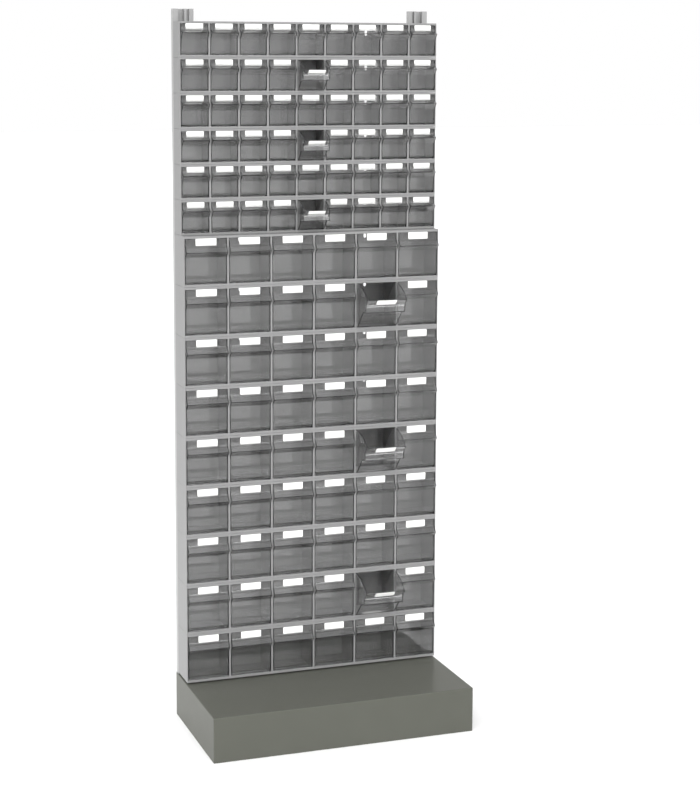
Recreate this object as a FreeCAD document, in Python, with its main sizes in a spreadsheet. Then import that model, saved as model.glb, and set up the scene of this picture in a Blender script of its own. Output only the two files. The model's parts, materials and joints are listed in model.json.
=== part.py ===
import FreeCAD, Part
import os
import Sketcher

# Tilt-bin storage stand: a folded steel plinth, two uprights at its back edge, and fifteen moulded housings
# stacked on the uprights, six rows of small bins over nine rows of large ones. Each bin is a clear tray whose
# round lower front edge turns in the trough behind the housing's front lip.
# Frame: millimetres, +X to the right, +Y to the back, +Z up, origin on the floor under the plinth's centre.

SIZES = [
    ("base_overhang", 1.5, "plinth past the housings, at each end"),
    ("base_depth", 316, "plinth, front to back"),
    ("base_height", 100, "plinth, floor to top"),
    ("base_sheet", 1.2, "plinth sheet"),
    ("base_bend", 2, "outer radius of the plinth's folds"),
    ("base_flange", 22, "width of the inward flange that the plinth stands on"),
    ("stud_radius", 3, "threaded stud on the plinth's back wall"),
    ("stud_length", 9, "stud, from the wall's inner face"),
    ("stud_low", 30, "height of the lower studs"),
    ("stud_high", 72, "height of the upper studs"),
    ("stud_gap", 0.3, "room round a stud in the upright"),
    ("nut_gap", 0.05, "room round a stud in its nut"),
    ("nut_across", 10, "nut, across the flats"),
    ("nut_height", 5, "nut thickness"),
    ("upright_sheet", 1.5, "upright sheet"),
    ("upright_depth", 14.5, "upright, front to back"),
    ("upright_over", 28.5, "upright above the top housing"),
    ("upright_gap", 0.5, "room round an upright in the plinth's top"),
    ("outer_flange", 12, "upright, outer front flange"),
    ("channel_width", 14, "upright, wide channel that takes the housings' bosses"),
    ("rib_width", 5, "upright, front rib between the channels"),
    ("slot_width", 6, "upright, narrow channel"),
    ("slot_depth", 8, "upright, depth of the narrow channel"),
    ("inner_flange", 10, "upright, inner front flange"),
    ("inner_leg", 8, "upright, inner edge turned back"),
    ("strip_width", 600, "every housing, side to side"),
    ("stack_lift", 4, "lowest housing above the plinth"),
    ("stack_gap", 0.5, "gap between stacked housings"),
    ("housing_wall", 2, "housing top and bottom"),
    ("housing_back", 1.8, "housing back"),
    ("end_wall", 1.6, "housing ends"),
    ("divider", 4.2, "walls between the cells"),
    ("lip_thickness", 2.4, "front lips, front to back"),
    ("boss_gap", 0.3, "room beside a boss in the upright's channel"),
    ("boss_height", 30, "boss on the housing's back"),
    ("bin_wall", 1.6, "bin walls"),
    ("side_gap", 0.6, "bin to divider"),
    ("rear_gap", 0.6, "bin to housing back"),
    ("hinge_gap", 0.2, "round edge to its trough"),
    ("sweep_gap", 1, "cheeks to the upper lip as a bin tips"),
    ("stop_rise", 1, "how far the bin's back edge catches behind the upper lip"),
    ("panel_setback", 0.4, "bin front behind the housing's front"),
    ("foot_angle", 60, "slope of the bin's foot over the lip, in degrees"),
    ("card_gap", 2.2, "opening of the label groove"),
    ("ridge_nose", 2.4, "pull ridge, solid behind its tip"),
    ("open_angle", 44, "tilt of an open bin, in degrees"),
    ("small_rows", 6, "rows of small bins"),
    ("small_columns", 9, "small bins in a row"),
    ("small_height", 77, "small housing"),
    ("small_depth", 56.5, "small housing"),
    ("small_lip", 4.5, "small housing, front lips"),
    ("small_bead", 2.2, "small bin, radius of its round lower edge"),
    ("small_ridge_low", 34.5, "small bin, foot of the pull ridge above the lip"),
    ("small_ridge_tip", 47.6, "small bin, tip of the pull ridge above the lip"),
    ("small_ridge_reach", 12, "small bin, pull ridge in front of the housing"),
    ("small_groove", 50, "small bin, bottom of the label groove above the lip"),
    ("small_card_lip", 54, "small bin, edge that holds the label, above the lip"),
    ("large_rows", 9, "rows of large bins"),
    ("large_columns", 6, "large bins in a row"),
    ("large_height", 111.5, "large housing"),
    ("large_depth", 79, "large housing"),
    ("large_lip", 5.2, "large housing, front lips"),
    ("large_bead", 2.6, "large bin, radius of its round lower edge"),
    ("large_ridge_low", 60, "large bin, foot of the pull ridge above the lip"),
    ("large_ridge_tip", 70.7, "large bin, tip of the pull ridge above the lip"),
    ("large_ridge_reach", 11, "large bin, pull ridge in front of the housing"),
    ("large_groove", 80, "large bin, bottom of the label groove above the lip"),
    ("large_card_lip", 84, "large bin, edge that holds the label, above the lip"),
]

# Bins that stand open, by row from the top, all in one column.
OPEN_COLUMN = 5
OPEN_ROWS = {"small": (2, 4, 6), "large": (2, 5, 8)}

doc = FreeCAD.newDocument("tilt_bin_stand")
sheet = doc.addObject("Spreadsheet::Sheet", "sizes")
for row, (alias, value, note) in enumerate(SIZES, start=1):
    sheet.set(f"A{row}", note)
    sheet.set(f"B{row}", str(value))
    sheet.setAlias(f"B{row}", alias)
doc.recompute()


def number(expression):
    """What an expression on the sheet comes to."""
    return float(sheet.evalExpression(expression))


def count(alias):
    return int(number(f"sizes.{alias}"))


def bind(thing, **expressions):
    """Ties properties to the sheet. A double underscore in a name stands for a dot."""
    for name, expression in expressions.items():
        thing.setExpression(name.replace("__", "."), expression)


def new_body(label):
    body = doc.addObject("PartDesign::Body", label)
    body.Label = label
    return body


def new_sketch(body, role, offset=None):
    """An empty sketch on one of the body's own planes, moved along the plane's normal by an expression."""
    plane = next(o for o in body.Origin.OriginFeatures if o.Role == role)
    sketch = body.newObject("Sketcher::SketchObject", f"{body.Name}_sketch")
    sketch.AttachmentSupport = [(plane, "")]
    sketch.MapMode = "FlatFace"
    if offset:
        bind(sketch, AttachmentOffset__Base__z=offset)
    return sketch


def hold(sketch, kind, geometry, point, expression):
    """Holds one coordinate of a point from the sketch's origin."""
    datum = Sketcher.Constraint(kind, -1, 1, geometry, point, number(expression))
    sketch.setExpression(f"Constraints[{sketch.addConstraint(datum)}]", expression)


def draw_outline(sketch, corners, arcs=()):
    """A closed outline through corners given as pairs of expressions, counterclockwise. A side whose index is
    in arcs is an arc about the sketch's origin, and the corner at its end takes its height from the arc."""
    places = [FreeCAD.Vector(number(x), number(y), 0) for x, y in corners]
    total = len(corners)
    first = sketch.GeometryCount
    for i, start in enumerate(places):
        end = places[(i + 1) % total]
        side = Part.LineSegment(start, end)
        if i in arcs:
            circle = Part.Circle(FreeCAD.Vector(), FreeCAD.Vector(0, 0, 1), start.Length)
            side = Part.ArcOfCircle(circle, circle.parameter(start), circle.parameter(end))
        sketch.addGeometry(side)
    for i in range(total):
        after = first + (i + 1) % total
        sketch.addConstraint(Sketcher.Constraint("Coincident", first + i, 2, after, 1))
        if i in arcs:
            sketch.addConstraint(Sketcher.Constraint("Coincident", first + i, 3, -1, 1))
    for i, (x, y) in enumerate(corners):
        hold(sketch, "DistanceX", first + i, 1, x)
        if (i - 1) % total not in arcs:
            hold(sketch, "DistanceY", first + i, 1, y)


def draw_rectangle(sketch, left, right, low, high):
    draw_outline(sketch, [(left, low), (right, low), (right, high), (left, high)])


def draw_circle(sketch, x, y, radius):
    circle = Part.Circle(FreeCAD.Vector(number(x), number(y), 0), FreeCAD.Vector(0, 0, 1), number(radius))
    index = sketch.addGeometry(circle)
    hold(sketch, "DistanceX", index, 3, x)
    hold(sketch, "DistanceY", index, 3, y)
    datum = Sketcher.Constraint("Radius", index, number(radius))
    sketch.setExpression(f"Constraints[{sketch.addConstraint(datum)}]", radius)


def extrude(body, kind, sketch, length, side="One side", reverse=False):
    """Pads or pockets a sketch by a length on the sheet."""
    feature = body.newObject(f"PartDesign::{kind}", f"{body.Name}_{kind.lower()}")
    feature.Profile = sketch
    feature.SideType = side
    feature.Reversed = reverse
    bind(feature, Length=length)
    doc.recompute()
    return feature


def repeat(body, feature, length, occurrences):
    """Repeats a feature along X over a length."""
    axis = next(o for o in body.Origin.OriginFeatures if o.Role == "X_Axis")
    pattern = body.newObject("PartDesign::LinearPattern", f"{body.Name}_pattern")
    pattern.Originals = [feature]
    pattern.Direction = (axis, [""])
    bind(pattern, Length=length, Occurrences=occurrences)
    body.Tip = pattern
    doc.recompute()
    return pattern


def placed(label, shape, place):
    """A piece of the stand that repeats a finished shape at a place."""
    piece = doc.addObject("Part::Feature", label)
    piece.Label = label
    piece.Shape = shape
    piece.Placement = place
    return piece


def at(x, y, z, tilt=0):
    """A place, turned about X by degrees: a bin's top goes forward as tilt grows."""
    turn = FreeCAD.Rotation(FreeCAD.Vector(1, 0, 0), tilt)
    return FreeCAD.Placement(FreeCAD.Vector(x, y, z), turn)


# Places that several pieces share, as expressions.
BACK_FACE = "(sizes.base_depth / 2 - sizes.base_sheet)"
HOUSING_BACK = f"({BACK_FACE} - sizes.upright_depth)"
BASE_HALF = "(sizes.strip_width / 2 + sizes.base_overhang)"
CHANNEL_CENTRE = "(sizes.strip_width / 2 - sizes.outer_flange - sizes.channel_width / 2)"
UPRIGHT_WIDTH = (
    "(sizes.outer_flange + sizes.channel_width + sizes.rib_width + sizes.slot_width + sizes.inner_flange)"
)
STACK_FOOT = "(sizes.base_height + sizes.stack_lift)"
LARGE_PITCH = "(sizes.large_height + sizes.stack_gap)"
SMALL_PITCH = "(sizes.small_height + sizes.stack_gap)"
SMALL_FOOT = f"({STACK_FOOT} + sizes.large_rows * {LARGE_PITCH})"
STACK_TOP = f"({SMALL_FOOT} + sizes.small_rows * {SMALL_PITCH} - sizes.stack_gap)"
ROW_FOOT = {"small": (SMALL_FOOT, SMALL_PITCH), "large": (STACK_FOOT, LARGE_PITCH)}


def row_height(kind, row):
    """The bottom of a housing, with row 1 at the top of its kind."""
    foot, pitch = ROW_FOOT[kind]
    return number(f"{foot} + (sizes.{kind}_rows - {row}) * {pitch}")


def cut_box(body, low, high):
    """Cuts a box between two corners, given as expressions, from a body."""
    box = body.newObject("PartDesign::SubtractiveBox", f"{body.Name}_cut")
    spans = [f"{b} - ({a})" for a, b in zip(low, high)]
    bind(box, Length=spans[0], Width=spans[1], Height=spans[2])
    bind(box, Placement__Base__x=low[0], Placement__Base__y=low[1], Placement__Base__z=low[2])
    doc.recompute()


def make_plinth():
    """Folded sheet box with rounded folds, hollow, on an inward flange. Its top has a notch for each upright
    and its back wall carries the studs that the uprights are clamped to."""
    body = new_body("base_plinth")
    blank = new_sketch(body, "XY_Plane")
    draw_rectangle(blank, f"-{BASE_HALF}", BASE_HALF, "-sizes.base_depth / 2", "sizes.base_depth / 2")
    block = extrude(body, "Pad", blank, "sizes.base_height")
    folds = [
        f"Edge{i}"
        for i, edge in enumerate(block.Shape.Edges, start=1)
        if edge.BoundBox.ZMax > number("sizes.base_height") / 2
    ]
    bends = body.newObject("PartDesign::Fillet", "base_bends")
    bends.Base = (block, folds)
    bind(bends, Radius="min(sizes.base_bend; 3 * sizes.base_sheet)")
    doc.recompute()
    wall_x = f"({BASE_HALF} - sizes.base_sheet)"
    ceiling = "(sizes.base_height - sizes.base_sheet)"
    cut_box(body, (f"-{wall_x}", f"-{BACK_FACE}", "sizes.base_sheet"), (wall_x, BACK_FACE, ceiling))
    rim_x = f"({BASE_HALF} - sizes.base_flange)"
    rim_y = "(sizes.base_depth / 2 - sizes.base_flange)"
    cut_box(body, (f"-{rim_x}", f"-{rim_y}", "-sizes.base_sheet"), (rim_x, rim_y, "2 * sizes.base_sheet"))
    notch_front = f"{HOUSING_BACK} - sizes.upright_gap"
    notch_outer = "sizes.strip_width / 2 + sizes.upright_gap"
    notch_inner = f"sizes.strip_width / 2 - {UPRIGHT_WIDTH} - sizes.upright_gap"
    over = "sizes.base_height + sizes.base_sheet"
    for left, right in ((f"-({notch_outer})", f"-({notch_inner})"), (notch_inner, notch_outer)):
        cut_box(body, (left, notch_front, ceiling), (right, BACK_FACE, over))
    for side in ("-", ""):
        for height in ("sizes.stud_low", "sizes.stud_high"):
            stud = body.newObject("PartDesign::AdditiveCylinder", "stud")
            stud.Placement = at(0, 0, 0, 90)
            bind(stud, Radius="sizes.stud_radius", Height="sizes.stud_length + sizes.base_sheet / 2")
            bind(stud, Placement__Base__x=f"{side}{CHANNEL_CENTRE}")
            bind(stud, Placement__Base__y=f"{BACK_FACE} + sizes.base_sheet / 2", Placement__Base__z=height)
            doc.recompute()
    return body


def make_left_upright():
    """Roll-formed channel: one sheet folded into an outer flange, a wide channel that reaches the back, a front
    rib, a narrow channel and an inner flange. Drawn from its outer back edge, forward along -Y."""
    body = new_body("left_upright")
    sheet_t = "sizes.upright_sheet"
    front = "-sizes.upright_depth"
    flange = "sizes.outer_flange"
    channel = f"{flange} + sizes.channel_width"
    rib = f"{channel} + sizes.rib_width"
    slot = f"{rib} + sizes.slot_width"
    floor = f"{front} + sizes.slot_depth"
    hem = f"{front} + sizes.inner_leg"
    outside = [
        ("0", "0"),
        ("0", front),
        (flange, front),
        (flange, f"-{sheet_t}"),
        (channel, f"-{sheet_t}"),
        (channel, front),
        (rib, front),
        (rib, floor),
        (slot, floor),
        (slot, front),
        (UPRIGHT_WIDTH, front),
        (UPRIGHT_WIDTH, hem),
    ]
    behind = f"{front} + {sheet_t}"
    inside = [
        (f"{UPRIGHT_WIDTH} - {sheet_t}", hem),
        (f"{UPRIGHT_WIDTH} - {sheet_t}", behind),
        (f"{slot} + {sheet_t}", behind),
        (f"{slot} + {sheet_t}", f"{floor} + {sheet_t}"),
        (f"{rib} - {sheet_t}", f"{floor} + {sheet_t}"),
        (f"{rib} - {sheet_t}", behind),
        (f"{channel} + {sheet_t}", behind),
        (f"{channel} + {sheet_t}", "0"),
        (f"{flange} - {sheet_t}", "0"),
        (f"{flange} - {sheet_t}", behind),
        (sheet_t, behind),
        (sheet_t, "0"),
    ]
    section = new_sketch(body, "XY_Plane")
    draw_outline(section, outside + inside)
    extrude(body, "Pad", section, f"{STACK_TOP} + sizes.upright_over - sizes.base_sheet")
    holes = new_sketch(body, "XZ_Plane")
    middle = f"{flange} + sizes.channel_width / 2"
    for height in ("sizes.stud_low", "sizes.stud_high"):
        draw_circle(holes, middle, f"{height} - sizes.base_sheet", "sizes.stud_radius + sizes.stud_gap")
    extrude(body, "Pocket", holes, f"3 * {sheet_t}", "Symmetric")
    bind(body, Placement__Base__x="-sizes.strip_width / 2", Placement__Base__y=BACK_FACE)
    bind(body, Placement__Base__z="sizes.base_sheet")
    doc.recompute()
    return body


def make_right_upright(left):
    mirror = doc.addObject("Part::Mirroring", "right_upright")
    mirror.Label = "right_upright"
    mirror.Source = left
    mirror.Normal = FreeCAD.Vector(1, 0, 0)
    doc.recompute()
    return mirror


def make_nuts():
    """Four hex nuts on the studs, tight against the floors of the uprights' channels."""
    blank = doc.addObject("Part::Prism", "nut_blank")
    blank.Polygon = 6
    bind(blank, Circumradius="sizes.nut_across / sqrt(3)", Height="sizes.nut_height")
    bore = doc.addObject("Part::Cylinder", "nut_bore")
    bind(bore, Radius="sizes.stud_radius + sizes.nut_gap", Height="sizes.nut_height")
    nut = doc.addObject("Part::Cut", "nut")
    nut.Base = blank
    nut.Tool = bore
    doc.recompute()
    copies = []
    for side in (-1, 1):
        for height in ("stud_low", "stud_high"):
            copy = nut.Shape.copy()
            seat = number(f"{BACK_FACE} - sizes.upright_sheet")
            copy.Placement = at(side * number(CHANNEL_CENTRE), seat, number(f"sizes.{height}"), 90)
            copies.append(copy)
    return placed("upright_nuts", Part.makeCompound(copies), FreeCAD.Placement())


def make_housing(kind):
    """One moulded row frame, drawn from the middle of its lower back edge: a channel section with front lips,
    closed by two ends and parted by dividers, with two bosses that stand in the uprights' wide channels."""
    body = new_body(f"{kind}_housing")
    front = f"-sizes.{kind}_depth"
    lip_back = f"{front} + sizes.lip_thickness"
    top = f"sizes.{kind}_height"
    lip = f"sizes.{kind}_lip"
    section = new_sketch(body, "YZ_Plane")
    draw_outline(
        section,
        [
            (front, "0"),
            ("0", "0"),
            ("0", top),
            (front, top),
            (front, f"{top} - {lip}"),
            (lip_back, f"{top} - {lip}"),
            (lip_back, f"{top} - sizes.housing_wall"),
            ("-sizes.housing_back", f"{top} - sizes.housing_wall"),
            ("-sizes.housing_back", "sizes.housing_wall"),
            (lip_back, "sizes.housing_wall"),
            (lip_back, lip),
            (front, lip),
        ],
    )
    extrude(body, "Pad", section, "sizes.strip_width", "Symmetric")
    cell = f"sizes.strip_width / sizes.{kind}_columns"
    divider = new_sketch(body, "YZ_Plane", f"-sizes.strip_width / 2 + {cell}")
    draw_rectangle(divider, front, "0", "0", top)
    wall = extrude(body, "Pad", divider, "sizes.divider", "Symmetric")
    repeat(body, wall, f"(sizes.{kind}_columns - 2) * {cell}", f"sizes.{kind}_columns - 1")
    end = new_sketch(body, "YZ_Plane", "-sizes.strip_width / 2 + sizes.end_wall / 2")
    draw_rectangle(end, front, "0", "0", top)
    wall = extrude(body, "Pad", end, "sizes.end_wall", "Symmetric")
    repeat(body, wall, "sizes.strip_width - sizes.end_wall", "2")
    bosses = new_sketch(body, "XZ_Plane")
    half = "(sizes.channel_width / 2 - sizes.boss_gap)"
    low = f"{top} / 2 - sizes.boss_height / 2"
    high = f"{top} / 2 + sizes.boss_height / 2"
    for side in ("-", ""):
        draw_rectangle(bosses, f"{side}{CHANNEL_CENTRE} - {half}", f"{side}{CHANNEL_CENTRE} + {half}", low, high)
    extrude(body, "Pad", bosses, "sizes.upright_depth - sizes.upright_sheet", reverse=True)
    return body


def hinge_depth(kind):
    """The hinge axis behind the housing's front."""
    return f"(sizes.lip_thickness + sizes.hinge_gap + sizes.{kind}_bead)"


def hinge_height(kind):
    """The hinge axis above the housing's bottom."""
    return f"(sizes.housing_wall + sizes.hinge_gap + sizes.{kind}_bead)"


def make_bin(kind):
    """One tilt bin, drawn about its hinge axis: a tray with a round lower front edge, a sloping foot, a hollow
    pull ridge, a groove for the label card, cheeks cut to an arc about the hinge, and a back wall whose top
    edge stands past that arc and catches behind the housing's upper lip."""
    body = new_body(f"{kind}_bin")
    bead = f"sizes.{kind}_bead"
    wall = "sizes.bin_wall"
    slope = "sizes.foot_angle * 1deg"
    lip_top = f"(sizes.{kind}_lip - {hinge_height(kind)})"
    sweep = f"(sizes.{kind}_height - sizes.{kind}_lip - {hinge_height(kind)} - sizes.sweep_gap)"
    catch = f"({sweep} + sizes.sweep_gap + sizes.stop_rise)"
    front = f"(sizes.panel_setback - {hinge_depth(kind)})"
    front_in = f"({front} + {wall})"
    rear = f"(sizes.{kind}_depth - sizes.housing_back - sizes.rear_gap - {hinge_depth(kind)})"
    rear_in = f"({rear} - {wall})"
    back_top = f"sqrt({catch} ^ 2 - {rear_in} ^ 2)"
    floor = f"({wall} - {bead})"
    tip = f"(-{hinge_depth(kind)} - sizes.{kind}_ridge_reach)"
    low, peak, groove, card_lip = (
        f"({lip_top} + sizes.{kind}_{level})" for level in ("ridge_low", "ridge_tip", "groove", "card_lip")
    )
    outline = new_sketch(body, "YZ_Plane")
    draw_outline(
        outline,
        [
            (f"-{bead} * cos({slope})", f"{bead} * sin({slope})"),
            ("0", f"-{bead}"),
            (rear, f"-{bead}"),
            (rear, back_top),
            (rear_in, back_top),
            (rear_in, f"sqrt({sweep} ^ 2 - {rear_in} ^ 2)"),
            (front, f"sqrt({sweep} ^ 2 - {front} ^ 2)"),
            (front, groove),
            (f"{front} - sizes.card_gap", card_lip),
            (tip, peak),
            (front, low),
            (front, f"-{front} * tan({slope})"),
        ],
        arcs=(0, 5),
    )
    width = f"(sizes.strip_width / sizes.{kind}_columns - sizes.divider - 2 * sizes.side_gap)"
    block = extrude(body, "Pad", outline, width, "Symmetric")
    hollow = new_sketch(body, "YZ_Plane")
    draw_outline(
        hollow,
        [
            (f"({wall} - {floor} * cos({slope})) / sin({slope})", floor),
            (rear_in, floor),
            (rear_in, catch),
            (front_in, catch),
            (front_in, f"{groove} - {wall}"),
            (f"{tip} + sizes.ridge_nose", peak),
            (front_in, low),
            (front_in, f"({wall} - {front_in} * sin({slope})) / cos({slope})"),
        ],
    )
    tray = extrude(body, "Pocket", hollow, f"{width} - 2 * {wall}", "Symmetric")
    if tray.Shape.Volume > 0.5 * block.Shape.Volume:
        raise RuntimeError(f"{body.Label} isn't hollow")
    return body


def bin_place(kind, row, column, tilt):
    """Where a bin's hinge axis lies, with columns from the left."""
    columns = count(f"{kind}_columns")
    x = number("sizes.strip_width") * ((column - 0.5) / columns - 0.5)
    y = number(f"{HOUSING_BACK} - sizes.{kind}_depth + {hinge_depth(kind)}")
    z = row_height(kind, row) + number(hinge_height(kind))
    return at(x, y, z, tilt)


def make_rows(kind):
    """Every housing of a kind, and its bins: the closed ones of a row, which share a hinge line, as one group
    of separate solids, and an open one by itself."""
    housing = make_housing(kind)
    tray = make_bin(kind)
    pieces = []
    for row in range(1, count(f"{kind}_rows") + 1):
        seat = at(0, number(HOUSING_BACK), row_height(kind, row))
        pieces.append(placed(f"{kind}_housing_{row}", housing.Shape.copy(), seat))
        closed = []
        for column in range(1, count(f"{kind}_columns") + 1):
            if column == OPEN_COLUMN and row in OPEN_ROWS[kind]:
                place = bin_place(kind, row, column, number("sizes.open_angle"))
                pieces.append(placed(f"{kind}_bin_open_row_{row}", tray.Shape.copy(), place))
                continue
            copy = tray.Shape.copy()
            copy.Placement = bin_place(kind, row, column, 0)
            closed.append(copy)
        pieces.append(placed(f"{kind}_bins_row_{row}", Part.makeCompound(closed), FreeCAD.Placement()))
    return pieces


left_upright = make_left_upright()
pieces = [make_plinth(), left_upright, make_right_upright(left_upright), make_nuts()]
for kind in ("small", "large"):
    pieces += make_rows(kind)
doc.recompute()

for thing in doc.Objects:
    if "Invalid" in thing.State or "Error" in thing.State:
        raise RuntimeError(f"{thing.Label} failed to build")
for piece in pieces:
    if piece.Shape.isNull() or not piece.Shape.isValid():
        raise RuntimeError(f"{piece.Label} has no valid shape")

os.makedirs("parts", exist_ok=True)
for piece in pieces:
    piece.Shape.exportStep(f"parts/{piece.Label}.step")
    box = piece.Shape.BoundBox
    size = f"{box.XLength:.1f} x {box.YLength:.1f} x {box.ZLength:.1f} mm"
    print(piece.Label, f"{len(piece.Shape.Solids)} solids", size, f"{piece.Shape.Volume / 1000:.1f} cm3")
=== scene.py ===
# %% [markdown]
# A tilt-bin storage stand is dressed here: moulded grey row housings stacked on two steel uprights, a clear
# bin in every cell, a white card on every bin, and a steel plinth on the floor. The solids come from the
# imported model, which stays where it is. This file gives them their finishes, draws the bins and the housings'
# backs more closely than the solids do, and adds the cards and screw heads, which are too thin to be solids.

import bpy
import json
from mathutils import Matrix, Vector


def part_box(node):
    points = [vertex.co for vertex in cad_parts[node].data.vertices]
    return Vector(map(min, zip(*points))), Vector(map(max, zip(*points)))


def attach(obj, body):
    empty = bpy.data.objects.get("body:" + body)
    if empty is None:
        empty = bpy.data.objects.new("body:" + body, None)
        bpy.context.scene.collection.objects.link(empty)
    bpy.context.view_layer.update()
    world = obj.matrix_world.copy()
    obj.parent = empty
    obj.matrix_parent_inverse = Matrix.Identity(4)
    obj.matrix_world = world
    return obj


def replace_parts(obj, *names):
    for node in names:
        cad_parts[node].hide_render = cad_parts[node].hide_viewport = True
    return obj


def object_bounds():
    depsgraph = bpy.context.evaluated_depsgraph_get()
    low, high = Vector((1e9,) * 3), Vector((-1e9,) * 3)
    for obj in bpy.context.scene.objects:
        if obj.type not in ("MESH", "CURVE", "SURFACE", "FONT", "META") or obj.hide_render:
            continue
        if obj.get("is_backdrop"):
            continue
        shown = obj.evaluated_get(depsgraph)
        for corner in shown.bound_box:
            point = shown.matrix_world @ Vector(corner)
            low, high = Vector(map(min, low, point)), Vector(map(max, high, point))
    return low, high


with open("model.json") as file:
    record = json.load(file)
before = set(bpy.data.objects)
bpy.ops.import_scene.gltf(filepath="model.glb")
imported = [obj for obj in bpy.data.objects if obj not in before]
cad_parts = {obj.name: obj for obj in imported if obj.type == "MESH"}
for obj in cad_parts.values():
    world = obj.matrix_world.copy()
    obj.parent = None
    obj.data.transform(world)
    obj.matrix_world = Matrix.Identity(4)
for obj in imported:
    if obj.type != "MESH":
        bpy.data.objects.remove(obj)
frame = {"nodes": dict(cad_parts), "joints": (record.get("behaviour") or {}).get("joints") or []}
cad_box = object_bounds()

# %% [markdown]
# The camera comes first, because every later comparison depends on it. Its place and turn were worked out
# from the straight edges of the stand in the photograph. The lens is long, about 80 mm on a 36 mm sensor, and
# the picture's centre is off the optical axis, which a small lens shift gives without turning the camera.

# %% Camera at the photograph's view
import math

import bpy
import numpy as np

PICTURE = (700, 788)
FOCAL_PIXELS = 1763.7
OPTICAL_CENTRE = (299.0, 297.6)
CAMERA_PLACE = (-1.2784, -3.6433, 1.4642)
CAMERA_LEFT_DEGREES = 18.537
CAMERA_DOWN_DEGREES = 7.242
SENSOR_MM = 36

scene = bpy.context.scene
lens = bpy.data.cameras.new("photo_camera")
lens.sensor_width = SENSOR_MM
lens.lens = FOCAL_PIXELS * SENSOR_MM / max(PICTURE)
lens.shift_x = (PICTURE[0] / 2 - OPTICAL_CENTRE[0]) / max(PICTURE)
lens.shift_y = (OPTICAL_CENTRE[1] - PICTURE[1] / 2) / max(PICTURE)
camera = bpy.data.objects.new("photo_camera", lens)
camera.location = CAMERA_PLACE
camera.rotation_euler = (math.radians(90 - CAMERA_DOWN_DEGREES), 0, -math.radians(CAMERA_LEFT_DEGREES))
scene.collection.objects.link(camera)
scene.camera = camera
print(f"lens {lens.lens:.1f} mm, shift {lens.shift_x:.3f}, {lens.shift_y:.3f}")

# %% [markdown]
# A material is a small graph of nodes. One helper adds a node, sets what is plain on it and links what comes
# from other nodes, so a finish reads from top to bottom. Colours are written as sRGB hex, as a paint card
# gives them, and turned to the linear values that a renderer adds up. Patterns are sized in millimetres:
# Object coordinates are metres, so a grain of a given size needs a scale of one over that size.

# %% Helpers for materials
MM = 0.001


def linear(hex_colour):
    """sRGB hex to linear colour and alpha: c / 12.92 near black, ((c + 0.055) / 1.055) ^ 2.4 above."""
    levels = np.array([int(hex_colour[i : i + 2], 16) for i in (1, 3, 5)]) / 255
    values = np.where(levels <= 0.04045, levels / 12.92, ((levels + 0.055) / 1.055) ** 2.4)
    return (*(float(v) for v in values), 1.0)


def add_node(tree, kind, inputs=None, **settings):
    """Adds a node. settings are its own properties. inputs are its sockets, by name or number: each takes a
    plain value, or another node's socket."""
    node = tree.nodes.new(kind)
    for name, value in settings.items():
        setattr(node, name, value)
    for name, value in (inputs or {}).items():
        if isinstance(value, bpy.types.NodeSocket):
            tree.links.new(value, node.inputs[name])
        else:
            node.inputs[name].default_value = value
    return node


def grain(size_mm):
    """The texture scale whose features are about this large."""
    return 1 / (size_mm * MM)


def new_tree(name):
    """An empty material and its node tree."""
    material = bpy.data.materials.new(name)
    material.use_nodes = True
    material.node_tree.nodes.clear()
    return material, material.node_tree


print(f"middle grey #808080 is {linear('#808080')[0]:.3f} in linear light")

# %% [markdown]
# The housings are injection-moulded ABS in a neutral light grey. The mould is spark-eroded, so the skin is
# satin with a very fine grain, and broad faces vary a little in shade where the plastic flowed. The grain is
# a third of a millimetre on such parts. It is drawn at 0.6 mm here, or it would vanish between pixels.

# %% Moulded grey ABS
def moulded_abs(name, dark, light):
    """Satin grey plastic: broad clouds of shade, and a fine grain in the shine and the relief."""
    material, tree = new_tree(name)
    place = add_node(tree, "ShaderNodeTexCoord").outputs["Object"]
    flow = add_node(tree, "ShaderNodeTexNoise", {"Vector": place, "Scale": grain(90), "Detail": 3.0})
    skin = add_node(tree, "ShaderNodeTexNoise", {"Vector": place, "Scale": grain(0.6), "Detail": 2.0})
    shade = add_node(
        tree, "ShaderNodeMix", {"Factor": flow.outputs["Fac"], "A": dark, "B": light}, data_type="RGBA"
    )
    gloss = add_node(
        tree, "ShaderNodeMapRange", {"Value": skin.outputs["Fac"], "To Min": 0.42, "To Max": 0.55}
    )
    bump = add_node(
        tree, "ShaderNodeBump", {"Height": skin.outputs["Fac"], "Strength": 0.12, "Distance": 0.1 * MM}
    )
    surface = add_node(
        tree,
        "ShaderNodeBsdfPrincipled",
        {
            "Base Color": shade.outputs["Result"],
            "Roughness": gloss.outputs["Result"],
            "Normal": bump.outputs["Normal"],
            "IOR": 1.53,
        },
    )
    add_node(tree, "ShaderNodeOutputMaterial", {"Surface": surface.outputs["BSDF"]})
    return material


housing_grey = moulded_abs("moulded_grey_abs", linear("#767676"), linear("#7c7c7c"))
print("made", housing_grey.name)

# %% [markdown]
# The bins are clear polystyrene, which bends light more than glass does, with an index of 1.59. It comes out
# of a polished mould, so it is smooth and sharp, with long faint waves where the melt cooled. Each wall is a
# real solid with two faces, so the renderer can follow the light through it, and the edges go dark by
# themselves.

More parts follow.
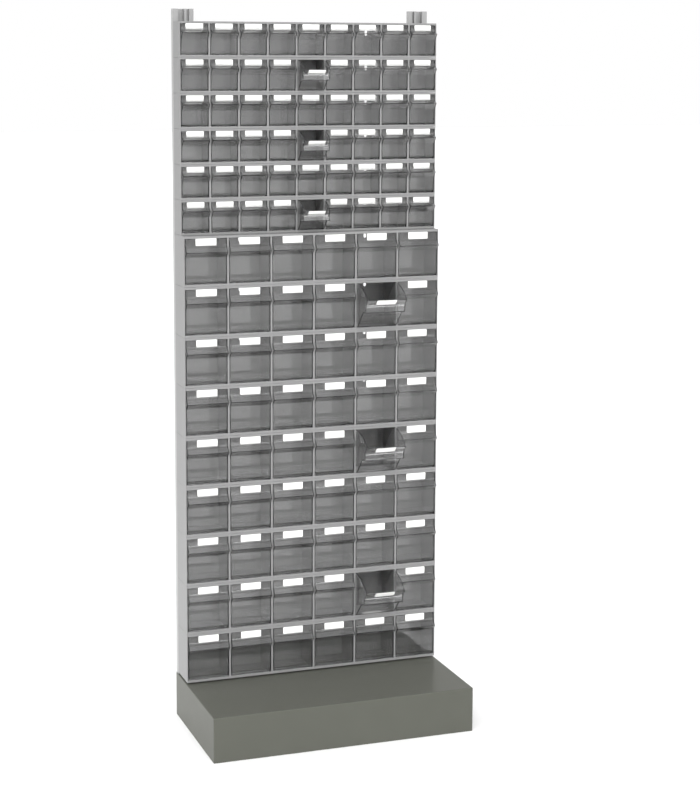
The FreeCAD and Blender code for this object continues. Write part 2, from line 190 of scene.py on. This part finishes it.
# %% Clear polystyrene
def clear_polystyrene(name, tint):
    """Clear plastic: long waves in its shine and relief, and nothing in its colour."""
    material, tree = new_tree(name)
    place = add_node(tree, "ShaderNodeTexCoord").outputs["Object"]
    waves = add_node(tree, "ShaderNodeTexNoise", {"Vector": place, "Scale": grain(40), "Detail": 1.0})
    gloss = add_node(
        tree, "ShaderNodeMapRange", {"Value": waves.outputs["Fac"], "To Min": 0.02, "To Max": 0.06}
    )
    bump = add_node(
        tree, "ShaderNodeBump", {"Height": waves.outputs["Fac"], "Strength": 0.05, "Distance": 0.5 * MM}
    )
    surface = add_node(
        tree,
        "ShaderNodeBsdfPrincipled",
        {
            "Base Color": tint,
            "Roughness": gloss.outputs["Result"],
            "Normal": bump.outputs["Normal"],
            "Transmission Weight": 1.0,
            "IOR": 1.59,
        },
    )
    add_node(tree, "ShaderNodeOutputMaterial", {"Surface": surface.outputs["BSDF"]})
    return material


clear_bin = clear_polystyrene("clear_polystyrene", linear("#fafafa"))
print("made", clear_bin.name)

# %% [markdown]
# The plinth and the uprights are folded sheet steel. The plinth is powder coated in a warm grey. Powder melts
# into a skin with a slight orange peel, soft bumps about 2 mm across. Matting powder in it takes most of the
# shine, and only a faint image of the bins lies on the plinth's top. The uprights have a thinner, lighter and
# shinier coat, with long faint streaks that run the way the strip went through the rolls.

# %% Powder-coated steel
def powder_coat(name, dark, light, shine, peel_mm, stretch):
    """Coated steel: clouds in its shade and shine, and an orange peel, drawn out along Z by 1 / stretch."""
    material, tree = new_tree(name)
    place = add_node(tree, "ShaderNodeTexCoord").outputs["Object"]
    run = add_node(tree, "ShaderNodeMapping", {"Vector": place, "Scale": (1.0, 1.0, stretch)})
    cloud = add_node(
        tree, "ShaderNodeTexNoise", {"Vector": run.outputs["Vector"], "Scale": grain(60), "Detail": 4.0}
    )
    peel = add_node(
        tree, "ShaderNodeTexNoise", {"Vector": run.outputs["Vector"], "Scale": grain(peel_mm), "Detail": 1.0}
    )
    shade = add_node(
        tree, "ShaderNodeMix", {"Factor": cloud.outputs["Fac"], "A": dark, "B": light}, data_type="RGBA"
    )
    gloss = add_node(
        tree, "ShaderNodeMapRange", {"Value": cloud.outputs["Fac"], "To Min": 0.26, "To Max": 0.34}
    )
    bump = add_node(
        tree, "ShaderNodeBump", {"Height": peel.outputs["Fac"], "Strength": 0.15, "Distance": 0.1 * MM}
    )
    surface = add_node(
        tree,
        "ShaderNodeBsdfPrincipled",
        {
            "Base Color": shade.outputs["Result"],
            "Roughness": gloss.outputs["Result"],
            "Normal": bump.outputs["Normal"],
            "IOR": 1.5,
            "Specular IOR Level": shine,
        },
    )
    add_node(tree, "ShaderNodeOutputMaterial", {"Surface": surface.outputs["BSDF"]})
    return material


plinth_coat = powder_coat(
    "warm_grey_powder_coat", linear("#50514b"), linear("#54554f"), shine=0.08, peel_mm=2.0, stretch=1.0
)
upright_coat = powder_coat(
    "light_grey_rolled_steel_coat", linear("#8a8a8a"), linear("#909090"), shine=0.5, peel_mm=1.2, stretch=0.05
)
print("made", plinth_coat.name, "and", upright_coat.name)

# %% [markdown]
# Nuts and screws are zinc-plated steel: a dull, slightly blue metal with a fine crystalline mottle.

# %% Zinc-plated steel
def zinc_plate(name, dark, light):
    """Plated steel: crystals in its shade and shine."""
    material, tree = new_tree(name)
    place = add_node(tree, "ShaderNodeTexCoord").outputs["Object"]
    mottle = add_node(tree, "ShaderNodeTexVoronoi", {"Vector": place, "Scale": grain(0.8)})
    shade = add_node(
        tree, "ShaderNodeMix", {"Factor": mottle.outputs["Distance"], "A": dark, "B": light}, data_type="RGBA"
    )
    gloss = add_node(
        tree, "ShaderNodeMapRange", {"Value": mottle.outputs["Distance"], "To Min": 0.28, "To Max": 0.42}
    )
    surface = add_node(
        tree,
        "ShaderNodeBsdfPrincipled",
        {"Base Color": shade.outputs["Result"], "Roughness": gloss.outputs["Result"], "Metallic": 1.0},
    )
    add_node(tree, "ShaderNodeOutputMaterial", {"Surface": surface.outputs["BSDF"]})
    return material


zinc = zinc_plate("zinc_plated_steel", linear("#a9adb0"), linear("#c6c9cb"))
print("made", zinc.name)

# %% [markdown]
# The label cards are plain uncoated paper, pressed from pulp. Its fibres scatter light evenly, so it is matt
# and nearly white, with a felt of fibres half a millimetre long that shows only from close by.

# %% White paper
def paper(name, dark, light):
    """Matt paper: fibres in its shade and relief."""
    material, tree = new_tree(name)
    place = add_node(tree, "ShaderNodeTexCoord").outputs["Object"]
    fibre = add_node(tree, "ShaderNodeTexNoise", {"Vector": place, "Scale": grain(0.5), "Detail": 4.0})
    shade = add_node(
        tree, "ShaderNodeMix", {"Factor": fibre.outputs["Fac"], "A": dark, "B": light}, data_type="RGBA"
    )
    bump = add_node(
        tree, "ShaderNodeBump", {"Height": fibre.outputs["Fac"], "Strength": 0.2, "Distance": 0.05 * MM}
    )
    surface = add_node(
        tree,
        "ShaderNodeBsdfPrincipled",
        {
            "Base Color": shade.outputs["Result"],
            "Normal": bump.outputs["Normal"],
            "Roughness": 0.85,
            "IOR": 1.5,
        },
    )
    add_node(tree, "ShaderNodeOutputMaterial", {"Surface": surface.outputs["BSDF"]})
    return material


white_card = paper("white_card", linear("#e6e6e4"), linear("#eeeeec"))
print("made", white_card.name)

# %% [markdown]
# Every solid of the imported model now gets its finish. The steel pieces are listed by name, and the other
# solids are either housings or bins.

# %% Finishes for the solids
FINISHES = {
    "base_plinth": plinth_coat,
    "left_upright": upright_coat,
    "right_upright": upright_coat,
    "upright_nuts": zinc,
}
for name, node in frame["nodes"].items():
    finish = FINISHES.get(name) or (housing_grey if "_housing_" in name else clear_bin)
    node.data.materials.clear()
    node.data.materials.append(finish)
print("dressed", len(frame["nodes"]), "nodes")

# %% [markdown]
# The pieces drawn here are arrays of points, with faces that say which points they join. A sheet or a dome is
# a grid. A bin or a slot is a side view carried along a straight path. A piece that repeats is drawn once and
# set down at every place.

# %% Helpers for surfaces
def grid_faces(rows, columns):
    """Quads of a grid of points, row by row: each joins a point, the next, and the same two a row on."""
    corner = (np.arange(rows - 1)[:, None] * columns + np.arange(columns - 1)).ravel()
    return np.stack([corner, corner + 1, corner + columns + 1, corner + columns], axis=1).tolist()


def carried(view, stations):
    """A closed side view of (a, b) points carried along a path: the point (s, a, b) for every station s, and
    for each span between two stations its quads, one for every side of the view."""
    n = len(view)
    points = np.column_stack([np.repeat(stations, n), np.tile(view, (len(stations), 1))])
    near = np.arange(n)
    far = np.roll(near, -1)
    ring = np.stack([near, far, n + far, n + near], axis=1)
    return points, [ring + k * n for k in range(len(stations) - 1)]


def capped(points, spans, n):
    """The faces of a carried view of n points: its spans, and the view itself at the two end stations."""
    ends = [list(range(n)), list(range(len(points) - n, len(points)))]
    return np.concatenate(spans).tolist() + ends


def leaned(points, tilt):
    """Points turned about the X axis: y' = y cos t - z sin t, z' = y sin t + z cos t."""
    turn = np.array([[1, 0, 0], [0, math.cos(tilt), -math.sin(tilt)], [0, math.sin(tilt), math.cos(tilt)]])
    return points @ turn.T


def shifted(faces, start):
    """The same faces over points that start later in the list."""
    return [[start + i for i in face] for face in faces]


def repeated(points, faces, spots):
    """Points and faces of one copy at each spot."""
    moved = (spots[:, None, :] + points).reshape(-1, 3)
    return moved, [face for k in range(len(spots)) for face in shifted(faces, k * len(points))]


print("a grid of 3 by 7 points has", len(grid_faces(3, 7)), "faces")

# %% [markdown]
# Points that lie on the same spot have to be merged, or the surface falls apart at its seams, and its faces
# have to point outwards, which clear plastic needs most of all. A finished mesh then becomes an object that
# stays at the origin and rides on a body of the imported model.

# %% Helpers for pieces
import bmesh

WELD = 0.001 * MM


def surface_of(mesh):
    """A mesh's points, as an array, and its faces."""
    points = np.empty(3 * len(mesh.vertices))
    mesh.vertices.foreach_get("co", points)
    return points.reshape(-1, 3), [tuple(face.vertices) for face in mesh.polygons]


def welded(points, faces):
    """The same surface with its doubled points merged and its faces turned outwards."""
    mesh = bpy.data.meshes.new("welded")
    mesh.from_pydata(points.tolist(), [], faces)
    shell = bmesh.new()
    shell.from_mesh(mesh)
    bmesh.ops.remove_doubles(shell, verts=shell.verts, dist=WELD)
    bmesh.ops.recalc_face_normals(shell, faces=shell.faces)
    shell.to_mesh(mesh)
    shell.free()
    surface = surface_of(mesh)
    bpy.data.meshes.remove(mesh)
    return surface


def mesh_object(name, points, faces):
    """A mesh and its object, at the origin."""
    mesh = bpy.data.meshes.new(name)
    mesh.from_pydata(points.tolist(), [], faces)
    made = bpy.data.objects.new(name, mesh)
    scene.collection.objects.link(made)
    return made


def new_piece(name, points, faces, material, body, slot):
    """An object that rides on a body."""
    piece = mesh_object(name, points, faces)
    piece.data.materials.append(material)
    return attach(piece, body)


print(f"points closer than {WELD / MM} mm are merged")

# %% [markdown]
# A row's bins turn about one hinge line and stand evenly along it, so a bin or a card is drawn about its
# hinge, leaned by the angle at which the bin stands, and set down at every place of that row. A group of shut
# bins leaves out the place of the one that stands open, which is a body by itself.

# %% Places of the bins
COLUMNS = {"small": 9, "large": 6}
strip_low, strip_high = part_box("large_housing_1")
strip_width = strip_high.x - strip_low.x
hinges = {joint["child"]: joint for joint in frame["joints"]}


def kind_of(name):
    """Small or large, the first word of a body's or a housing's name."""
    return name.split("_")[0]


def bin_spots(body):
    """Where the hinges of a body's bins lie."""
    x, y, z = hinges[body]["pos_m"]
    columns = COLUMNS[kind_of(body)]
    places = strip_width * ((np.arange(columns) + 0.5) / columns - 0.5)
    if "_open_" in body:
        places = np.array([x])
    else:
        taken = [j["pos_m"][0] for name, j in hinges.items() if "_open_" in name and j["pos_m"][2] == z]
        places = places[~np.isclose(places[:, None], taken, atol=MM).any(axis=1)]
    return np.stack([places, np.full_like(places, y), np.full_like(places, z)], axis=1)


def bin_tilt(body):
    """How far a body's bins lean at rest. An open bin can go back by that angle, and a shut one by none."""
    return math.radians(-hinges[body]["range_deg"][0])


# %% [markdown]
# Light comes through two upright slots high in each housing's back, by which a housing can also hang on a
# wall. It shows as white spots in the cells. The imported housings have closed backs, so the slots are cut
# here. What cuts them is a pair of prisms, a slot's outline carried from front to back.

# %% Slot cutter
SLOT_SPREAD = 300 * MM
SLOT_RADIUS = 3.2 * MM
SLOT_HIGH = 9.0 * MM
SLOT_LOW = {"small": 21.6 * MM, "large": 18.8 * MM}
SLOT_STEPS = 9
BACK_REACH = 3.0 * MM


def slot_outline(kind, top):
    """A slot's (x, z) points: two half circles about its ends, x = r cos a and z = z0 + r sin a, at z0 below
    the housing's top."""
    turn = np.linspace(0, math.pi, SLOT_STEPS)
    circle = SLOT_RADIUS * np.stack([np.cos(turn), np.sin(turn)], axis=1)
    return np.vstack([circle + (0, top - SLOT_HIGH), -circle + (0, top - SLOT_LOW[kind])])


def slot_cutter(kind, back, top):
    """Two prisms that go through a housing's back: the outline carried along Y, left and right."""
    outline = slot_outline(kind, top)
    points, spans = carried(outline, back + np.array([-BACK_REACH, BACK_REACH]))
    faces = capped(points, spans, len(outline))
    spots = np.array([(side * SLOT_SPREAD / 2, 0, 0) for side in (-1, 1)])
    return welded(*repeated(points[:, [1, 0, 2]], faces, spots))


print(f"slots {SLOT_SPREAD / MM:.0f} mm apart and {2 * SLOT_RADIUS / MM:.1f} mm wide")

# %% [markdown]
# Each housing is copied and its doubled points are merged, because a Boolean modifier needs a closed surface.
# The exact solver takes the prisms away from the copy, which then stands for the housing. The prisms and the
# uncut copy are thrown away.

# %% Housings with hanging slots
housing_names = [name for name in frame["nodes"] if "_housing_" in name]
housing_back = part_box("left_upright")[0].y
for name in housing_names:
    points, faces = welded(*surface_of(frame["nodes"][name].data))
    whole = mesh_object("whole", points, faces)
    cutter = mesh_object("cutter", *slot_cutter(kind_of(name), housing_back, points[:, 2].max()))
    cut = whole.modifiers.new("slots", "BOOLEAN")
    cut.operation, cut.solver, cut.object = "DIFFERENCE", "EXACT", cutter
    slotted = surface_of(whole.evaluated_get(bpy.context.evaluated_depsgraph_get()).to_mesh())
    for used in (whole, cutter):
        bpy.data.meshes.remove(used.data)
    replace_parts(new_piece(f"{name}_slotted", *slotted, housing_grey, "stand", "housing"), name)
print("slots cut in the backs of", len(housing_names), "housings")

# %% [markdown]
# A clear bin holds its card in a groove behind a lip over the pull ridge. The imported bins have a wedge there,
# and a wedge of clear plastic is a prism, which throws a bright line along the whole row. The real lip is a
# thin upright strip, so the bins are drawn again with that lip. Two side views make a bin: its outline, and
# its hollow, which is open at the top.

# %% A bin's side views
BIN_WALL = 1.6 * MM
CARD_GAP = 1.6 * MM
LIP_WALL = 1.2 * MM
LIP_FACE = 5.8 * MM
SHELF_DROP = 0.4 * MM
RIDGE_NOSE = 2.4 * MM
FOOT_SLOPE = math.radians(60)
BEAD_STEPS = 7
CHEEK_STEPS = 9
# Measures from the hinge, in millimetres, of a small and a large bin.
BINS = {
    "bead": (2.2, 2.6),  # radius of the round lower edge
    "front": (-4.4, -4.8),  # front panel's outer face
    "rear": (49.3, 71.4),  # back wall's outer face
    "sweep": (67.1, 100.5),  # radius of the cheeks' arc
    "catch": (69.1, 102.5),  # radius that the back wall's top edge reaches
    "tip": (-16.8, -16.2),  # pull ridge's tip, in front
    "low": (34.6, 60.4),  # pull ridge's foot, above
    "peak": (47.7, 71.1),  # pull ridge's tip, above
    "groove": (54.8, 85.7),  # bottom of the label groove
    "lip": (59.4, 87.2),  # top of the label lip
}


def side_views(kind):
    """A bin's outline and hollow as (y, z) points, each with the numbers of its sides along the cheeks' arc,
    z = sqrt(s^2 - y^2). The foot's line leaves the round edge as a tangent, at the foot's slope."""
    column = list(COLUMNS).index(kind)
    measures = (pair[column] * MM for pair in BINS.values())
    bead, front, rear, sweep, catch, tip, low, peak, groove, lip = measures
    front_in, rear_in, floor = front + BIN_WALL, rear - BIN_WALL, BIN_WALL - bead
    lip_in = front - CARD_GAP
    lip_out = lip_in - LIP_WALL
    lip_foot = lip - LIP_FACE
    shelf = lip_foot - SHELF_DROP
    sine, cosine = math.sin(FOOT_SLOPE), math.cos(FOOT_SLOPE)
    turn = np.linspace(math.pi - FOOT_SLOPE, 1.5 * math.pi, BEAD_STEPS)
    edge = bead * np.stack([np.cos(turn), np.sin(turn)], axis=1)
    y = np.linspace(rear_in, front_in, CHEEK_STEPS)
    cheek = np.stack([y, np.sqrt(sweep**2 - y**2)], axis=1)
    back_top = math.sqrt(catch**2 - rear_in**2)
    back = [(rear, -bead), (rear, back_top), (rear_in, back_top)]
    groove_side = [(front, math.sqrt(sweep**2 - front**2)), (front, groove), (lip_in, groove)]
    lip_side = [(lip_in, lip), (lip_out, lip), (lip_out, lip_foot)]
    ridge = [(tip, peak), (front, low), (front, -front * sine / cosine)]
    outline = np.vstack([edge, back, cheek, groove_side, lip_side, ridge])
    bottom = [((BIN_WALL - floor * cosine) / sine, floor), (rear_in, floor)]
    inside = [(front_in, shelf), (lip_out + BIN_WALL, shelf), (tip + RIDGE_NOSE, peak), (front_in, low)]
    foot = [(front_in, (BIN_WALL - front_in * sine) / cosine)]
    hollow = np.vstack([bottom, cheek, inside, foot])
    arc = np.arange(CHEEK_STEPS - 1)
    return (outline, arc + len(edge) + len(back)), (hollow, arc + len(bottom))


for kind in COLUMNS:
    print(kind, "bin:", *(len(view) for view, arc in side_views(kind)), "points in its outline and hollow")

# %% [markdown]
# The outline runs the bin's whole width, and the hollow stops a wall's thickness short of each end. What is
# left there are the cheeks, cut to an arc about the hinge so that they pass under the housing's upper lip.
# Between the cheeks neither view has a face along that arc, and that is the bin's open mouth.

# %% Clear bins with a thin label lip
BIN_ROOM = 5.4 * MM  # a divider, and a gap on each side of the bin


def clear_bin_mesh(kind):
    """A bin about its hinge: the outline carried along X from end to end, the hollow from cheek to cheek."""
    half = (strip_width / COLUMNS[kind] - BIN_ROOM) / 2
    stations = np.array([-half, BIN_WALL - half, half - BIN_WALL, half])
    points, faces = np.empty((0, 3)), []
    for (view, arc), across in zip(side_views(kind), (stations, stations[1:3])):
        shell, spans = carried(view, across)
        middle = len(spans) // 2
        spans[middle] = np.delete(spans[middle], arc, axis=0)
        faces += shifted(capped(shell, spans, len(view)), len(points))
        points = np.vstack([points, shell])
    return welded(points, faces)


bin_meshes = {kind: clear_bin_mesh(kind) for kind in COLUMNS}
for body in hinges:
    points, faces = bin_meshes[kind_of(body)]
    row = repeated(leaned(points, bin_tilt(body)), faces, bin_spots(body))
    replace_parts(new_piece(f"{body}_clear", *row, clear_bin, body, "bin"), body)

# %% [markdown]
# Each bin carries a blank white card that stands in the groove. A card is a thin sheet with a slight bow, so
# it is a small grid, and a Solidify modifier gives it its thickness.

# %% Label cards
CARD_THICK = 0.25 * MM
CARD_BOW = 0.2 * MM
CARD_STEPS = (3, 7)
# A card's width, its foot and head above the hinge, and its place in front of the hinge.
CARDS = {
    "small": {"width": 39.2 * MM, "low": 54.9 * MM, "high": 67.7 * MM, "front": 4.45 * MM},
    "large": {"width": 46.8 * MM, "low": 85.8 * MM, "high": 101.3 * MM, "front": 4.85 * MM},
}


def card_sheet(size):
    """The front of a card about its bin's hinge: x = w (u - 1/2), z from foot to head by v, and a bow in
    front of the panel of b (1 - (2u - 1)^2)."""
    v, u = np.meshgrid(np.linspace(0, 1, CARD_STEPS[0]), np.linspace(0, 1, CARD_STEPS[1]), indexing="ij")
    x = size["width"] * (u - 0.5)
    y = -size["front"] - CARD_BOW * (1 - (2 * u - 1) ** 2)
    z = size["low"] + (size["high"] - size["low"]) * v
    return np.stack([x, y, z], axis=-1).reshape(-1, 3)


for body in hinges:
    sheet = leaned(card_sheet(CARDS[kind_of(body)]), bin_tilt(body))
    row = repeated(sheet, grid_faces(*CARD_STEPS), bin_spots(body))
    cards = new_piece(f"{body}_cards", *row, white_card, body, "bin")
    thick = cards.modifiers.new("card", "SOLIDIFY")
    thick.thickness = CARD_THICK
    thick.offset = 1

# %% [markdown]
# Two screws hold each housing from behind. They go through the uprights into the housing's bosses, and only
# their low round heads show, on the uprights' backs. A head is a grid of rings: a shallow dome, then a
# six-sided socket.

# %% Screw heads
HEAD_RADIUS = 4.0 * MM
HEAD_RISE = 1.1 * MM
SOCKET_HALF = 1.5 * MM
SOCKET_FLOOR = 0.3 * MM
DOME_RINGS = 3
HEAD_STEPS = 18
SCREW_FROM_EDGE = 19.0 * MM


def screw_head():
    """A head that stands along +Y on its foot circle. The dome's height at radius r is H sqrt(1 - (r / R)^2).
    The socket's edge at angle p is a hexagon, r = a / cos((p mod 60 degrees) - 30 degrees)."""
    angle = np.linspace(0, 2 * math.pi, HEAD_STEPS + 1)
    edge = SOCKET_HALF / np.cos(np.mod(angle, math.pi / 3) - math.pi / 6)
    part = np.linspace(0, 1, DOME_RINGS)[:, None]
    radius = HEAD_RADIUS + (edge - HEAD_RADIUS) * part
    height = HEAD_RISE * np.sqrt(np.maximum(0, 1 - (radius / HEAD_RADIUS) ** 2))
    radius = np.vstack([radius, edge, np.zeros_like(edge)])
    height = np.vstack([height, np.full((2, len(angle)), SOCKET_FLOOR)])
    points = np.stack([radius * np.cos(angle), height, radius * np.sin(angle)], axis=-1)
    foot = tuple(range(HEAD_STEPS))
    return welded(points.reshape(-1, 3), grid_faces(*radius.shape) + [foot])


head, head_faces = screw_head()
upright_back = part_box("left_upright")[1].y
screw_spots = np.array(
    [
        (side * (strip_width / 2 - SCREW_FROM_EDGE), upright_back, (low.z + high.z) / 2)
        for low, high in map(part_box, housing_names)
        for side in (-1, 1)
    ]
)
new_piece("housing_screws", *repeated(head, head_faces, screw_spots), zinc, "stand", "nut")
print(len(screw_spots), "screws")

# %% [markdown]
# The floor is a plain pale sheet, far larger than the stand, so that no edge of it shows. It belongs to the
# studio and not to the part.

# %% Floor
FLOOR_HALF = 40.0
corners = FLOOR_HALF * np.array([[-1, -1, 0], [1, -1, 0], [1, 1, 0], [-1, 1, 0]])
floor = mesh_object("floor", corners, [(0, 1, 2, 3)])
floor_material, floor_tree = new_tree("pale_floor")
floor_surface = add_node(
    floor_tree, "ShaderNodeBsdfPrincipled", {"Base Color": linear("#e6e6e6"), "Roughness": 0.9}
)
add_node(floor_tree, "ShaderNodeOutputMaterial", {"Surface": floor_surface.outputs["BSDF"]})
floor.data.materials.append(floor_material)
floor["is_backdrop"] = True
print(f"floor {2 * FLOOR_HALF:.0f} m wide")

# %% [markdown]
# The light is that of a studio with white walls, and three parts of the room glow more: a broad panel
# overhead on the left, a softbox high in front, and the wall on the front left. The softbox looks into the
# mouths of the cells and lights their backs. It stays away from the place that the front panels mirror, or
# they would shine. A world that fades smoothly from one part to the next does this best, because clear walls
# show every sharp edge in it.

# %% Room light
from mathutils import Vector

WALL_LIGHT = 1.0
# Each glow's direction, focus and strength.
GLOWS = {
    "overhead_left": ((-0.45, -0.35, 0.82), 8.0, 1.3),
    "front_softbox": ((-0.1, -0.85, 0.5), 16.0, 6.6),
    "left_front_wall": ((-0.75, -0.65, 0.1), 6.0, 1.2),
}
studio = bpy.data.worlds.new("studio")
studio.use_nodes = True
room = studio.node_tree
room.nodes.clear()
direction = add_node(room, "ShaderNodeTexCoord").outputs["Generated"]


def lobe(towards, focus, strength):
    """Light that is strongest along a direction t: strength * max(0, d . t) ^ focus for a view along d."""
    along = Vector(towards).normalized()
    facing = add_node(room, "ShaderNodeVectorMath", {0: direction, 1: along}, operation="DOT_PRODUCT")
    near = add_node(room, "ShaderNodeMath", {0: facing.outputs["Value"], 1: 0.0}, operation="MAXIMUM")
    fall = add_node(room, "ShaderNodeMath", {0: near.outputs["Value"], 1: focus}, operation="POWER")
    part = add_node(room, "ShaderNodeMath", {0: fall.outputs["Value"], 1: strength}, operation="MULTIPLY")
    return part.outputs["Value"]


brightness = WALL_LIGHT
for towards, focus, strength in GLOWS.values():
    part = lobe(towards, focus, strength)
    brightness = add_node(room, "ShaderNodeMath", {0: part, 1: brightness}, operation="ADD").outputs["Value"]
light = add_node(room, "ShaderNodeBackground", {"Color": (1, 1, 1, 1), "Strength": brightness})
add_node(room, "ShaderNodeOutputWorld", {"Surface": light.outputs["Background"]})
scene.world = studio
print("the room glows in", ", ".join(GLOWS))

# %% [markdown]
# A lamp lies low on the left, so that the left side grows brighter towards the floor. It is kept behind the
# fronts, because a small lamp seen through so many clear walls throws sharp patches. Light turns often on its
# way through them, so many turns are allowed. The plain view transform shows colours as they are, with no
# film curve.

# %% Low lamp and the way of light
LAMP_SIZE = 0.5
LAMP_WATTS = 5
LAMP_PLACE = (-1.3, 0.5, 0.25)
LAMP_TURN = (0, -math.radians(90), -math.radians(20))
LIGHT_TURNS = 32

lamp_data = bpy.data.lights.new("low_left_softbox", "AREA")
lamp_data.size = LAMP_SIZE
lamp_data.energy = LAMP_WATTS
lamp = bpy.data.objects.new("low_left_softbox", lamp_data)
lamp.location = LAMP_PLACE
lamp.rotation_euler = LAMP_TURN
scene.collection.objects.link(lamp)
scene.cycles.max_bounces = LIGHT_TURNS
scene.cycles.transmission_bounces = LIGHT_TURNS
scene.view_settings.view_transform = "Standard"
print("a lamp of", LAMP_WATTS, "W, and", LIGHT_TURNS, "turns for a ray of light")

# %% [markdown]
# Last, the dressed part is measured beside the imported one. Both boxes should be the same, because nothing
# that is drawn here reaches past the solids.

# %% Measure and finish
import json

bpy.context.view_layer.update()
for state, (low, high) in {"packed": cad_box, "dressed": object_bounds()}.items():
    print(state, "part:", " x ".join(f"{side / MM:.1f}" for side in high - low), "mm")
